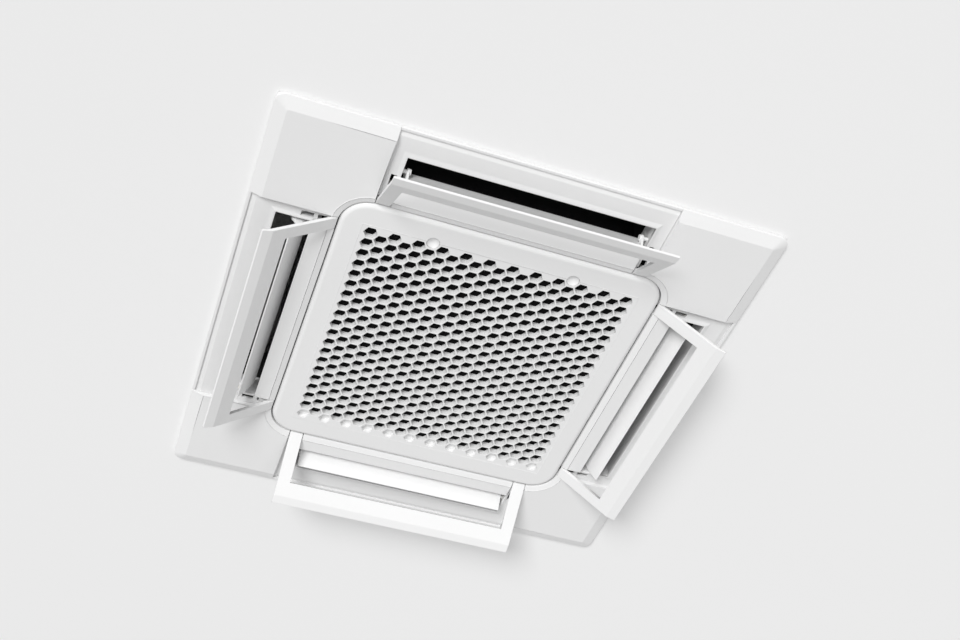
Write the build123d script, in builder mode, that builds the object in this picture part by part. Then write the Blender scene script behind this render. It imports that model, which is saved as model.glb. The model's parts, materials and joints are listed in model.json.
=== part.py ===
from build123d import *
from math import cos, radians, sin, sqrt
import os

# A compact four-way ceiling cassette air conditioner: the unit above the ceiling, and the
# square panel below it with its honeycomb intake grille, four louvres and four draft frames.
# Millimetres. Z points up into the ceiling, and z = 0 is the underside of the ceiling.
# Each outlet is drawn along +X: u runs outwards from the centre, w along the slot.

# ---- The four outlets -------------------------------------------------------------------
OUTLETS = {"right": 0, "front": 90, "left": 180, "back": 270}
CORNERS = {"front_right": 0, "front_left": 90, "back_left": 180, "back_right": 270}

# ---- Panel ------------------------------------------------------------------------------
PANEL = 620.0              # side of the square panel
PANEL_R = 11.0             # its corner radius
FACE_Z = -10.0             # lowest flat face of the panel
RIM_Z = -4.5               # lower edge of the panel's rim
BEVEL = 15.5               # width of the bevel between rim and face
SEAT_Z = -4.0              # sunk seat that a draft frame closes onto
SEAT_RIM_U = 306.5         # inner face of the thin rim beyond the seat
SEAT_BEVEL_U = 299.4       # where the seat starts to rise to the rim
SEAT_TOP_Z = -1.5          # height of the seat at the rim
DECK_Z = -1.6              # underside of the corner decks, behind the lids
FLANGE_IN = 292.0          # the flange against the ceiling begins here
BACK_Z = -0.3              # height of the panel's back inside it
SEAM = 170.0               # seam between a corner lid and an outlet bay

RECESS = 408.0             # square recess that the grille closes
RECESS_R = 37.0
COLLAR_T = 2.2             # wall round the recess
COLLAR_TOP = 12.0
STRIP_W = 151.0            # half length of the fixed strip between recess and slot
STRIP_U = 231.0            # outer edge of that strip
SKIN = 2.5                 # thickness of the strip
FLARE_W, FLARE_D = 7.0, 1.9           # the recess edge flares out at the face
BEAD_H = 0.6               # low bead along the outer edge of the flare

SLOT_IN, SLOT_OUT = 223.0, 274.0      # air slot, inner wall and outer edge
SLOT_W = 152.0                        # its half length
DUCT_OUT = 276.6                      # outer wall of the duct above the slot
DUCT_T = 2.2
DUCT_TOP = 27.0

# ---- Louvres ----------------------------------------------------------------------------
PIVOT_U, PIVOT_Z = 250.0, 3.0
LOUVRE_OPEN = 65.0         # from shut to the steep position that it rests in
LOUVRE_W = 146.5
PIN_R = 2.5
RUNNING = 0.05             # radial clearance of a turning pin

# ---- Draft frames -----------------------------------------------------------------------
HINGE_U, HINGE_Z = 208.0, -6.0
FRAME_OPEN = 37.8          # from shut to the open position that it rests in
FRAME_OUT = 306.2
BAR_IN = 274.0             # inner edge of the outer bar
ARM_IN, ARM_OUT = 152.2, 169.4
FRAME_TOP = -5.6
BARREL_R = 4.0
HINGE_PIN_R = 1.5

# ---- Frame drive: a toothed sector on each frame and a pinion on its motor ----------------
MODULE = 1.0
SECTOR_TEETH, PINION_TEETH = 30, 12
MESH_ANGLE = 60.0          # direction from the hinge to the pinion
GEAR_W = 160.0             # middle of the gears, along the slot
GEAR_T = 4.4
SECTOR_R = MODULE * SECTOR_TEETH / 2
PINION_R = MODULE * PINION_TEETH / 2
PINION_U = HINGE_U + (SECTOR_R + PINION_R) * cos(radians(MESH_ANGLE))
PINION_Z = HINGE_Z + (SECTOR_R + PINION_R) * sin(radians(MESH_ANGLE))

# ---- Grille -----------------------------------------------------------------------------
GRILLE = 405.0
GRILLE_R = 34.5
GRILLE_TOP = 2.0
EDGE_R = 7.0               # rounding of the grille's edge
GRILLE_SKIN = 2.4
CELL_PITCH_Y = 17.0
CELL_PITCH_X = 14.8
CELL_FLATS = 15.0          # opening across flats
CELL_COLUMNS = 23
CELL_ROWS = 20             # in the long columns; the others have one fewer
HONEY_DEPTH = 8.5
BLIND_FLOOR = 1.8          # thickness left behind a blind cell
HONEY_X, HONEY_Y = 172.0, 168.0       # half size of the honeycomb; a fine line runs round it
CUP_X, CUP_Y, CUP_R = 88.8, -171.0, 8.0
GRILLE_AXIS_Y = 182.0      # its hinge, far enough in for the edge to swing up inside the recess
GRILLE_AXIS_Z = -3.0
GRILLE_HINGE_X = 120.0
ARM_Z = 18.5               # underside of the hinge arms, over the swing of the grille's edge
LATCH_Y = CUP_Y - 9.5      # edge of the strike that a latch tongue hooks over

# ---- Unit above the ceiling ---------------------------------------------------------------
CASE = 570.0
CASE_CUT = 62.0            # chamfered corners, which the hanger bolts pass
CASE_Z0, CASE_Z1 = 5.0, 250.0
SHEET = 1.2
LINER = 8.0
SHEET_SEAM = 0.4           # seams between the casing's sheets
FOAM_SEAM = 0.6            # joints between foam blocks
PAN_Z0, PAN_Z1 = 28.0, 76.0
COIL_IN, COIL_OUT = 188.0, 214.0
COIL_Z0, COIL_Z1 = 60.0, 232.0
COIL_R = 50.0
THROAT_R = 118.0
FAN_R = 165.0
FAN_Z0, FAN_Z1 = 74.0, 203.0
SHAFT_R = 4.0
MOTOR_R = 56.0
HANGER_PITCH = 530.0
HANGER_Z = 150.0
HANGER_SLOT_R, HANGER_SLOT = 6.0, 20.0
BOLT_XY = 243.0            # panel bolts, behind the corner lids
GUSSET_IN = BOLT_XY - 15   # inner edges of the corner gussets

os.makedirs("parts", exist_ok=True)


def save(part, name):
    """Label one finished piece and write its file."""
    part.label = name
    export_step(part, f"parts/{name}.step")


def across(angle):
    """Upright plane across one outlet: local x runs outwards, local y runs up."""
    turn = radians(angle)
    return Plane((0, 0, 0), x_dir=(cos(turn), sin(turn), 0), z_dir=(sin(turn), -cos(turn), 0))


def level(z, angle=0):
    """Flat plane at height z, with local x outwards from one outlet and local y along it."""
    turn = radians(angle)
    return Plane((0, 0, z), x_dir=(cos(turn), sin(turn), 0), z_dir=(0, 0, 1))


def along(angle, u, w, z):
    """Plane square to the slot at one point of its length, for turned pieces."""
    turn = radians(angle)
    spot = (u * cos(turn) - w * sin(turn), u * sin(turn) + w * cos(turn), z)
    return Plane(spot, x_dir=(cos(turn), sin(turn), 0), z_dir=(-sin(turn), cos(turn), 0))


# ---- Shared outlines ----------------------------------------------------------------------
# The recess edge flares out at the face, on the strips and on the corner lids alike.
with BuildPart() as recess_flare:
    with BuildSketch(Plane.XY.offset(FACE_Z)):
        RectangleRounded(RECESS + 2 * FLARE_W, RECESS + 2 * FLARE_W, RECESS_R + FLARE_W)
    with BuildSketch(Plane.XY.offset(FACE_Z + FLARE_D)):
        RectangleRounded(RECESS, RECESS, RECESS_R)
    loft()
    with BuildSketch(Plane.XY.offset(FACE_Z + FLARE_D)):
        RectangleRounded(RECESS, RECESS, RECESS_R)
    extrude(amount=-FACE_Z + COLLAR_TOP)

# A low bead runs round the flare, on the strips and the lids.
with BuildPart() as recess_bead:
    for reach, height in ((FLARE_W + 2.0, FACE_Z + 0.4), (FLARE_W + 1.1, FACE_Z - BEAD_H)):
        with BuildSketch(Plane.XY.offset(height)):
            RectangleRounded(RECESS + 2 * reach, RECESS + 2 * reach, RECESS_R + reach)
    loft()
    for reach, height in ((FLARE_W - 0.2, FACE_Z + 0.4), (FLARE_W + 0.6, FACE_Z - BEAD_H)):
        with BuildSketch(Plane.XY.offset(height)):
            RectangleRounded(RECESS + 2 * reach, RECESS + 2 * reach, RECESS_R + reach)
    loft(mode=Mode.SUBTRACT)

# The panel's bevelled outer skin, which the lids are cut from.
with BuildPart() as panel_skin:
    with BuildSketch(Plane.XY.offset(FACE_Z)):
        RectangleRounded(PANEL - 2 * BEVEL, PANEL - 2 * BEVEL, 2.5)
    with BuildSketch(Plane.XY.offset(RIM_Z)):
        RectangleRounded(PANEL, PANEL, PANEL_R)
    loft()
    with BuildSketch(Plane.XY.offset(RIM_Z)):
        RectangleRounded(PANEL, PANEL, PANEL_R)
    extrude(amount=DECK_Z - RIM_Z)
    add(recess_flare.part, mode=Mode.SUBTRACT)


# ---- Panel frame --------------------------------------------------------------------------
with BuildPart() as panel_frame:
    with BuildSketch(Plane.XY.offset(RIM_Z)):
        RectangleRounded(PANEL, PANEL, PANEL_R)
    extrude(amount=-RIM_Z)
    # Only the outer flange lies against the ceiling. The back stands lower inside it.
    with BuildSketch(Plane.XY.offset(BACK_Z)):
        Rectangle(2 * FLANGE_IN, 2 * FLANGE_IN)
    extrude(amount=1, mode=Mode.SUBTRACT)
    # Corner decks stand back behind the lids.
    with BuildSketch(Plane.XY.offset(RIM_Z - 1)):
        with GridLocations(SEAM + PANEL / 2 + 4, SEAM + PANEL / 2 + 4, 2, 2):
            Rectangle(PANEL / 2 + 4 - SEAM, PANEL / 2 + 4 - SEAM)
    extrude(amount=DECK_Z - RIM_Z + 1, mode=Mode.SUBTRACT)
    # Sunk seats, one for each draft frame, with a rising edge.
    for turn in OUTLETS.values():
        with BuildSketch(across(turn)):
            with BuildLine():
                Polyline((200, RIM_Z - 1), (SEAT_RIM_U, RIM_Z - 1), (SEAT_RIM_U, SEAT_TOP_Z),
                         (SEAT_BEVEL_U, SEAT_Z), (200, SEAT_Z), close=True)
            make_face()
        extrude(amount=SEAM, both=True, mode=Mode.SUBTRACT)
    # A low bead round each slot.
    for turn in OUTLETS.values():
        with BuildSketch(level(SEAT_Z, turn)):
            with Locations(((STRIP_U + 281) / 2, 0)):
                Rectangle(281 - STRIP_U, 2 * SLOT_W + 12)
        with BuildSketch(level(SEAT_Z - 1.5, turn)):
            with Locations(((STRIP_U + 276) / 2, 0)):
                Rectangle(276 - STRIP_U, 2 * SLOT_W + 3)
        loft()
    # Strips between the recess and the slots, hollow behind.
    for turn in OUTLETS.values():
        with BuildSketch(across(turn)):
            with Locations(((RECESS / 2 + STRIP_U) / 2, (FACE_Z + FACE_Z + SKIN) / 2)):
                Rectangle(STRIP_U - RECESS / 2, SKIN)
            with Locations(((RECESS / 2 + SLOT_IN) / 2, (FACE_Z + SEAT_Z) / 2)):
                Rectangle(SLOT_IN - RECESS / 2, SEAT_Z - FACE_Z)
        extrude(amount=STRIP_W, both=True)
        with BuildSketch(across(turn)):
            with Locations(((RECESS / 2 + SLOT_IN) / 2, FACE_Z + SKIN + 10)):
                Rectangle(SLOT_IN - RECESS / 2 - 2 * COLLAR_T, 20)
        extrude(amount=STRIP_W - 2, both=True, mode=Mode.SUBTRACT)
    # Wall round the recess, and the ducts above the slots.
    with BuildSketch(Plane.XY.offset(SEAT_Z)):
        RectangleRounded(RECESS + 2 * COLLAR_T, RECESS + 2 * COLLAR_T, RECESS_R + COLLAR_T)
    extrude(amount=COLLAR_TOP - SEAT_Z)
    for turn in OUTLETS.values():
        with BuildSketch(level(-1, turn)):
            with Locations(((SLOT_IN + DUCT_OUT) / 2, 0)):
                Rectangle(DUCT_OUT - SLOT_IN + 2 * DUCT_T, 2 * SLOT_W + 2 * DUCT_T)
        extrude(amount=DUCT_TOP + 1)
        with BuildSketch(level(0, turn)):
            with Locations(((SLOT_IN + DUCT_OUT) / 2, 0)):
                Rectangle(DUCT_OUT - SLOT_IN, 2 * SLOT_W)
        extrude(amount=DUCT_TOP + 1, mode=Mode.SUBTRACT)
        with BuildSketch(level(FACE_Z + SKIN, turn)):
            with Locations(((SLOT_IN + SLOT_OUT) / 2, 0)):
                Rectangle(SLOT_OUT - SLOT_IN, 2 * SLOT_W)
        extrude(amount=DUCT_TOP, mode=Mode.SUBTRACT)
    add(recess_flare.part, mode=Mode.SUBTRACT)
    with BuildPart(mode=Mode.PRIVATE) as strip_beads:
        add(recess_bead.part)
        with BuildSketch(Plane.XY.offset(FACE_Z - 1)):
            Rectangle(2 * STRIP_W, PANEL)
            Rectangle(PANEL, 2 * STRIP_W)
        extrude(amount=2, mode=Mode.INTERSECT)
    add(strip_beads.part)
    # Seats for the louvre pins, the frame hinges and the frame drives.
    for turn in OUTLETS.values():
        for end in (-1, 1):
            with BuildSketch(along(turn, PIVOT_U, end * (SLOT_W + 2.5), PIVOT_Z)):
                Circle(4.6)
            extrude(amount=3.5, both=True, mode=Mode.SUBTRACT)
            with BuildSketch(along(turn, HINGE_U, end * (STRIP_W - 1), HINGE_Z)):
                Circle(HINGE_PIN_R)
            extrude(amount=2, both=True, mode=Mode.SUBTRACT)
            with BuildSketch(level(RIM_Z, turn)):
                with Locations((HINGE_U, end * (STRIP_W + SEAM) / 2)):
                    Rectangle(10, SEAM - STRIP_W)
            extrude(amount=3.3, mode=Mode.SUBTRACT)
            with BuildSketch(level(RIM_Z, turn)):
                with Locations((213, end * GEAR_W)):
                    Rectangle(26, 6.6)
                with Locations((238.5, end * 159.5)):
                    Rectangle(15, 7)
            extrude(amount=20, mode=Mode.SUBTRACT)
    # Bolt holes in the corner decks.
    with BuildSketch(Plane.XY.offset(RIM_Z)):
        with GridLocations(2 * BOLT_XY, 2 * BOLT_XY, 2, 2):
            Circle(3)
    extrude(amount=6, mode=Mode.SUBTRACT)
    # Arms for the grille's hinge pins, reaching over from the collar on the front side.
    for x in (-GRILLE_HINGE_X, GRILLE_HINGE_X):
        with BuildSketch(Plane.YZ.offset(x - 2.5)):
            with BuildLine():
                Polyline((RECESS / 2 + 0.5, 6), (RECESS / 2 + COLLAR_T, 6),
                         (RECESS / 2 + COLLAR_T, ARM_Z + 3.5), (GRILLE_AXIS_Y - 2.2, ARM_Z + 3.5),
                         (GRILLE_AXIS_Y - 2.2, GRILLE_AXIS_Z), (GRILLE_AXIS_Y + 2.2, GRILLE_AXIS_Z),
                         (GRILLE_AXIS_Y + 2.2, ARM_Z), (RECESS / 2 + 0.5, ARM_Z), close=True)
            make_face()
            with Locations((GRILLE_AXIS_Y, GRILLE_AXIS_Z)):
                Circle(2.6)
        extrude(amount=5)
        with BuildSketch(Plane.YZ.offset(x - 3)):
            with Locations((GRILLE_AXIS_Y, GRILLE_AXIS_Z)):
                Circle(HINGE_PIN_R)
        extrude(amount=6, mode=Mode.SUBTRACT)
    # Strikes for the grille's two latches, on the back side.
    for x in (-CUP_X, CUP_X):
        with BuildSketch(Plane.XY.offset(3.6)):
            with Locations((x, (LATCH_Y - RECESS / 2 - 1) / 2)):
                Rectangle(10, LATCH_Y + RECESS / 2 + 1)
        extrude(amount=1.6)
save(panel_frame.part, "panel_frame")

# ---- Corner lids --------------------------------------------------------------------------
with BuildPart() as lid_blank:
    add(panel_skin.part)
    with BuildSketch(Plane.XY.offset(FACE_Z - 1)):
        with Locations(((SEAM + PANEL / 2) / 2 + 10, (SEAM + PANEL / 2) / 2 + 10)):
            Rectangle(PANEL / 2 - SEAM + 19.2, PANEL / 2 - SEAM + 19.2)
    extrude(amount=12, mode=Mode.INTERSECT)
    # Hollow behind, with a wall left along every edge.
    with BuildSketch(Plane.XY.offset(FACE_Z + 2.2)):
        with Locations((235, 235)):
            Rectangle(122, 122)
        with Locations((RECESS / 2 - RECESS_R, RECESS / 2 - RECESS_R)):
            Circle(RECESS_R + 8.5, mode=Mode.SUBTRACT)
    extrude(amount=10, mode=Mode.SUBTRACT)
    face_edges = lid_blank.faces().sort_by(Axis.Z)[0].edges()
    fillet(face_edges.filter_by(GeomType.LINE), radius=0.8)
    with BuildPart(mode=Mode.PRIVATE) as lid_bead:
        add(recess_bead.part)
        with BuildSketch(Plane.XY.offset(FACE_Z - 1)):
            with Locations((SEAM + 61.2, SEAM + 61.2)):
                Rectangle(120, 120)
        extrude(amount=1.8, mode=Mode.INTERSECT)
    add(lid_bead.part)
    # It stands clear of the wall round the recess.
    with BuildSketch(Plane.XY.offset(SEAT_Z - 0.1)):
        RectangleRounded(RECESS + 2 * COLLAR_T, RECESS + 2 * COLLAR_T, RECESS_R + COLLAR_T)
    extrude(amount=6, mode=Mode.SUBTRACT)
for name, turn in CORNERS.items():
    with BuildPart() as corner_lid:
        add(lid_blank.part, rotation=(0, 0, turn))
    save(corner_lid.part, f"corner_lid_{name}")

# ---- Panel bolts, under the lids ------------------------------------------------------------
with BuildPart() as panel_bolts:
    with BuildSketch(Plane.XY.offset(DECK_Z)):
        with GridLocations(2 * BOLT_XY, 2 * BOLT_XY, 2, 2):
            RegularPolygon(5.2, 6)
    extrude(amount=-3.5)
    with BuildSketch(Plane.XY.offset(DECK_Z)):
        with GridLocations(2 * BOLT_XY, 2 * BOLT_XY, 2, 2):
            Circle(2.5)
    extrude(amount=36)
save(panel_bolts.part, "panel_bolts")

# ---- Louvres ------------------------------------------------------------------------------
# Drawn shut, then turned about the pivot to the rest position.
with BuildPart() as louvre_blank:
    with BuildSketch(Plane.XZ):
        with BuildLine():
            upper = ThreePointArc((236, -0.6), (254, -3.4), (272.2, -3.4))
            tail = ThreePointArc(upper @ 1, (273.2, -4.5), (272.2, -5.6))
            lower = ThreePointArc(tail @ 1, (254, -7.9), (236, -7.4))
            ThreePointArc(lower @ 1, (232.6, -4), upper @ 0)
        make_face()
    extrude(amount=LOUVRE_W, both=True)
    for end in (-1, 1):
        with BuildSketch(Plane.XZ.offset(-end * (LOUVRE_W - 1.5))) as arm:
            with Locations((PIVOT_U, PIVOT_Z)):
                Circle(4.4)
            with Locations((PIVOT_U - 5, -5), (PIVOT_U + 9, -5)):
                Circle(1.8)
            make_hull()
        extrude(amount=1.5, both=True)
        with BuildSketch(along(0, PIVOT_U, end * (LOUVRE_W - 5), PIVOT_Z)):
            Circle(4.0)
        extrude(amount=end * 5)
        with BuildSketch(along(0, PIVOT_U, end * LOUVRE_W, PIVOT_Z)):
            Circle(PIN_R)
        extrude(amount=end * 9)
louvre_axis = Axis((PIVOT_U, 0, PIVOT_Z), (0, 1, 0))
louvre_open = louvre_blank.part.rotate(louvre_axis, LOUVRE_OPEN)
for name, turn in OUTLETS.items():
    with BuildPart() as louvre:
        add(louvre_open, rotation=(0, 0, turn))
    save(louvre.part, f"louvre_{name}")

# ---- Louvre motors, one at an end of each slot, and bushes at the other end --------------------
MOTOR_LIFT = 9.6
with BuildPart() as louvre_motor_blank:
    with BuildSketch(along(0, PIVOT_U, SLOT_W + 0.2, PIVOT_Z)):
        Circle(4.55)
    extrude(amount=4)
    with BuildSketch(along(0, PIVOT_U, SLOT_W + DUCT_T + 1.3, PIVOT_Z + MOTOR_LIFT)):
        Circle(12)
        with Locations((-15, 0), (15, 0)):
            Circle(3.6)
        Rectangle(30, 7)
        with Locations((-15, 0), (15, 0)):
            Circle(1.6, mode=Mode.SUBTRACT)
    extrude(amount=1.2)
    with BuildSketch(along(0, PIVOT_U, SLOT_W + DUCT_T + 1.3, PIVOT_Z + MOTOR_LIFT)):
        Circle(12)
    extrude(amount=15)
    with BuildSketch(along(0, PIVOT_U, SLOT_W + 8, PIVOT_Z + MOTOR_LIFT)):
        with Locations((14, 0)):
            Rectangle(8, 12)
    extrude(amount=9)
    with BuildSketch(along(0, PIVOT_U, SLOT_W, PIVOT_Z)):
        Circle(PIN_R + RUNNING)
    extrude(amount=8, mode=Mode.SUBTRACT)
with BuildPart() as louvre_motors:
    for turn in OUTLETS.values():
        add(louvre_motor_blank.part, rotation=(0, 0, turn))
save(louvre_motors.part, "louvre_motors")

with BuildPart() as louvre_bushes:
    for turn in OUTLETS.values():
        with BuildSketch(along(turn, PIVOT_U, -SLOT_W, PIVOT_Z)):
            Circle(4.6)
            Circle(PIN_R + RUNNING, mode=Mode.SUBTRACT)
        extrude(amount=-4.4)
save(louvre_bushes.part, "louvre_bushes")

# ---- Gears of the frame drive -----------------------------------------------------------------


def tooth_ring(radius, teeth, first, count):
    """Straight-flanked teeth on a pitch circle, as polygons round the sketch's origin."""
    for number in range(count):
        with Locations(Rotation(0, 0, first + number * 360 / teeth)):
            with BuildLine(mode=Mode.PRIVATE) as flank:
                Polyline((radius - 2.2, 0.98), (radius, 0.62), (radius + 0.85, 0.32),
                         (radius + 0.85, -0.32), (radius, -0.62), (radius - 2.2, -0.98), close=True)
            add(make_face(flank.edges(), mode=Mode.PRIVATE))


# ---- Draft frames -------------------------------------------------------------------------
# Drawn shut and flush with the lids, then swung down about the hinge.
with BuildPart() as frame_blank:
    with BuildSketch(Plane.XZ):
        with BuildLine():
            Polyline((HINGE_U, FACE_Z), (PANEL / 2 - BEVEL, FACE_Z), (FRAME_OUT, -5.85),
                     (FRAME_OUT, -2.9), (298.5, FRAME_TOP), (HINGE_U, FRAME_TOP), close=True)
        make_face()
    extrude(amount=ARM_OUT, both=True)
    with BuildSketch(Plane.XY.offset(FACE_Z - 1)):
        with Locations(((HINGE_U + BAR_IN) / 2 - 10, 0)):
            Rectangle(BAR_IN - HINGE_U + 20, 2 * ARM_IN)
    extrude(amount=10, mode=Mode.SUBTRACT)
    fillet(frame_blank.edges().group_by(Axis.X)[-1].filter_by(Axis.Y), radius=0.7)
    for end in (-1, 1):
        with BuildSketch(along(0, HINGE_U, end * ARM_IN, HINGE_Z)):
            Circle(BARREL_R)
        extrude(amount=end * (ARM_OUT - ARM_IN))
        with BuildSketch(along(0, HINGE_U, end * (ARM_IN - 1), HINGE_Z)):
            Circle(HINGE_PIN_R + RUNNING)
        extrude(amount=end * 6.5, mode=Mode.SUBTRACT)
    # The toothed sector at one end, in mesh when the frame is open.
    with BuildSketch(Plane((HINGE_U, -GEAR_W, HINGE_Z), x_dir=(1, 0, 0), z_dir=(0, -1, 0))):
        with BuildLine():
            low, high = MESH_ANGLE - 16, MESH_ANGLE + FRAME_OPEN + 16
            rim = CenterArc((0, 0), SECTOR_R - 1.6, low, high - low)
            Line(rim @ 1, (0, 0))
            Line((0, 0), rim @ 0)
        make_face()
        tooth_ring(SECTOR_R, SECTOR_TEETH, MESH_ANGLE + FRAME_OPEN - 4 * 360 / SECTOR_TEETH, 6)
    extrude(amount=GEAR_T / 2, both=True)
frame_axis = Axis((HINGE_U, 0, HINGE_Z), (0, 1, 0))
frame_open = frame_blank.part.rotate(frame_axis, FRAME_OPEN)
for name, turn in OUTLETS.items():
    with BuildPart() as draft_frame:
        add(frame_open, rotation=(0, 0, turn))
    save(draft_frame.part, f"draft_frame_{name}")

with BuildPart() as frame_hinge_pins:
    for turn in OUTLETS.values():
        for end in (-1, 1):
            with BuildSketch(along(turn, HINGE_U, end * (STRIP_W - 2), HINGE_Z)):
                Circle(HINGE_PIN_R)
            extrude(amount=end * 8)
save(frame_hinge_pins.part, "frame_hinge_pins")

with BuildPart() as pinion_blank:
    with BuildSketch(Plane((PINION_U, -GEAR_W, PINION_Z), x_dir=(1, 0, 0), z_dir=(0, -1, 0))):
        Circle(PINION_R - 1.4)
        half_tooth = 180 / PINION_TEETH
        tooth_ring(PINION_R, PINION_TEETH, MESH_ANGLE + 180 + half_tooth, PINION_TEETH)
    extrude(amount=GEAR_T / 2, both=True)
    with BuildSketch(along(0, PINION_U, -GEAR_W, PINION_Z)):
        Circle(2.0)
    extrude(amount=-14)
for name, turn in OUTLETS.items():
    with BuildPart() as frame_pinion:
        add(pinion_blank.part, rotation=(0, 0, turn))
    save(frame_pinion.part, f"frame_pinion_{name}")

with BuildPart() as frame_motors:
    for turn in OUTLETS.values():
        with BuildSketch(along(turn, PINION_U, -165, PINION_Z)):
            Circle(11)
        extrude(amount=-15)
        with BuildSketch(along(turn, PINION_U, -180, PINION_Z)):
            Circle(5)
        extrude(amount=-2)
        with BuildSketch(along(turn, PINION_U, -164, PINION_Z)):
            Circle(2.0 + RUNNING)
        extrude(amount=-11, mode=Mode.SUBTRACT)
        # A foot that stands on the panel behind the lid.
        with BuildSketch(level(0, turn)):
            with Locations((PINION_U, -172.5)):
                Rectangle(12, 12)
        extrude(amount=3)
save(frame_motors.part, "frame_motors")

# ---- Intake grille ------------------------------------------------------------------------


def cell_centres():
    """Centres of the open cells and of the blind ones, which end the long columns."""
    open_cells, blind_cells = [], []
    for column in range(CELL_COLUMNS):
        rows = CELL_ROWS if column % 2 == 0 else CELL_ROWS - 1
        x = (column - (CELL_COLUMNS - 1) / 2) * CELL_PITCH_X
        for row in range(rows):
            y = (row - (rows - 1) / 2) * CELL_PITCH_Y
            blind = rows == CELL_ROWS and row == rows - 1
            (blind_cells if blind else open_cells).append((x, y))
    return open_cells, blind_cells


OPEN_CELLS, BLIND_CELLS = cell_centres()
with BuildPart() as honeycomb:
    with BuildSketch(Plane.XY.offset(FACE_Z)):
        Rectangle(2 * HONEY_X + 6, 2 * HONEY_Y + 8)
        with Locations(*OPEN_CELLS):
            RegularPolygon(CELL_FLATS / 2, 6, major_radius=False, mode=Mode.SUBTRACT)
        with Locations((-CUP_X, CUP_Y), (CUP_X, CUP_Y)):
            Circle(CUP_R, mode=Mode.SUBTRACT)
    extrude(amount=HONEY_DEPTH)
    # The last cell of each long column is blind.
    with BuildSketch(Plane.XY.offset(FACE_Z - 1)):
        with Locations(*BLIND_CELLS):
            RegularPolygon(CELL_FLATS / 2 - 0.4, 6, major_radius=False)
    extrude(amount=1 + HONEY_DEPTH - BLIND_FLOOR, mode=Mode.SUBTRACT)

with BuildPart() as intake_grille:
    with BuildSketch(Plane.XY.offset(FACE_Z)):
        RectangleRounded(GRILLE, GRILLE, GRILLE_R)
    extrude(amount=GRILLE_TOP - FACE_Z)
    fillet(intake_grille.faces().sort_by(Axis.Z)[0].edges(), radius=EDGE_R)
    # Hollow behind the rim, and open where the honeycomb sits.
    with BuildSketch(Plane.XY.offset(FACE_Z + GRILLE_SKIN)):
        RectangleRounded(GRILLE - 9.6, GRILLE - 9.6, GRILLE_R - 5)
    extrude(amount=20, mode=Mode.SUBTRACT)
    with BuildSketch(Plane.XY.offset(FACE_Z - 1)):
        Rectangle(2 * HONEY_X + 6, 2 * HONEY_Y + 8)
    extrude(amount=20, mode=Mode.SUBTRACT)
    with BuildSketch(Plane.XY.offset(FACE_Z - 1)):
        with Locations((-CUP_X, CUP_Y), (CUP_X, CUP_Y)):
            Circle(CUP_R)
    extrude(amount=20, mode=Mode.SUBTRACT)
    # A fine raised line round the honeycomb.
    with BuildSketch(Plane.XY.offset(FACE_Z)):
        Rectangle(2 * HONEY_X + 7.2, 2 * HONEY_Y + 9.2)
        Rectangle(2 * HONEY_X + 6, 2 * HONEY_Y + 8, mode=Mode.SUBTRACT)
        with Locations((-CUP_X, CUP_Y), (CUP_X, CUP_Y)):
            Circle(CUP_R, mode=Mode.SUBTRACT)
    extrude(amount=-0.35)
    # Hinge ears either side of each arm.
    for x in (-GRILLE_HINGE_X, GRILLE_HINGE_X):
        for side in (-1, 1):
            with BuildSketch(Plane.YZ.offset(x + side * 3.9 - 1)):
                with Locations((GRILLE_AXIS_Y, GRILLE_AXIS_Z)):
                    Circle(4)
                with Locations((GRILLE_AXIS_Y, GRILLE_AXIS_Z - 2.4)):
                    Rectangle(8, 4.8)
                with Locations((GRILLE_AXIS_Y, GRILLE_AXIS_Z)):
                    Circle(HINGE_PIN_R + RUNNING, mode=Mode.SUBTRACT)
            extrude(amount=2)
    add(honeycomb.part)
save(intake_grille.part, "intake_grille")

with BuildPart() as grille_hinge_pins:
    for x in (-GRILLE_HINGE_X, GRILLE_HINGE_X):
        with BuildSketch(Plane.YZ.offset(x - 5.5)):
            with Locations((GRILLE_AXIS_Y, GRILLE_AXIS_Z)):
                Circle(HINGE_PIN_R)
        extrude(amount=11)
save(grille_hinge_pins.part, "grille_hinge_pins")

# ---- Filter, in the grille ------------------------------------------------------------------
FILTER_Z = FACE_Z + HONEY_DEPTH
with BuildPart() as filter_net:
    with BuildSketch(Plane.XY.offset(FILTER_Z)):
        RectangleRounded(2 * HONEY_X + 4, 2 * HONEY_Y - 12, 6)
    extrude(amount=1)
    with BuildSketch(Plane.XY.offset(FILTER_Z + 1)):
        RectangleRounded(2 * HONEY_X + 4, 2 * HONEY_Y - 12, 6)
        with GridLocations(115, 163, 3, 2):
            RectangleRounded(108, 154, 4, mode=Mode.SUBTRACT)
    extrude(amount=2.5)
save(filter_net.part, "filter_net")

# ---- Press buttons of the grille --------------------------------------------------------------
tongue_z = FACE_Z + HONEY_DEPTH + 1.6      # top of the flange behind the grille
for name, x in (("left", -CUP_X), ("right", CUP_X)):
    with BuildPart() as latch_button:
        with BuildSketch(Plane.XY.offset(FACE_Z + 0.5)):
            with Locations((x, CUP_Y)):
                Circle(CUP_R - 0.35)
        extrude(amount=HONEY_DEPTH - 0.3)
        with Locations((x, CUP_Y, FACE_Z - 5.4)):
            Sphere(9.6, mode=Mode.SUBTRACT)
        # A flange behind the grille keeps it in, and a barbed tongue stands on it.
        with BuildSketch(Plane.XY.offset(FACE_Z + HONEY_DEPTH + 0.2)):
            with Locations((x, CUP_Y - 1)):
                Rectangle(17, 16)
        extrude(amount=1.4)
        with BuildSketch(Plane.YZ.offset(x - 4)):
            with BuildLine():
                Polyline((CUP_Y - 6, tongue_z), (CUP_Y - 6, 8), (CUP_Y - 9, 6.6),
                         (CUP_Y - 7.6, 5.6), (CUP_Y - 7.6, tongue_z), close=True)
            make_face()
        extrude(amount=8)
    save(latch_button.part, f"latch_button_{name}")

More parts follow.
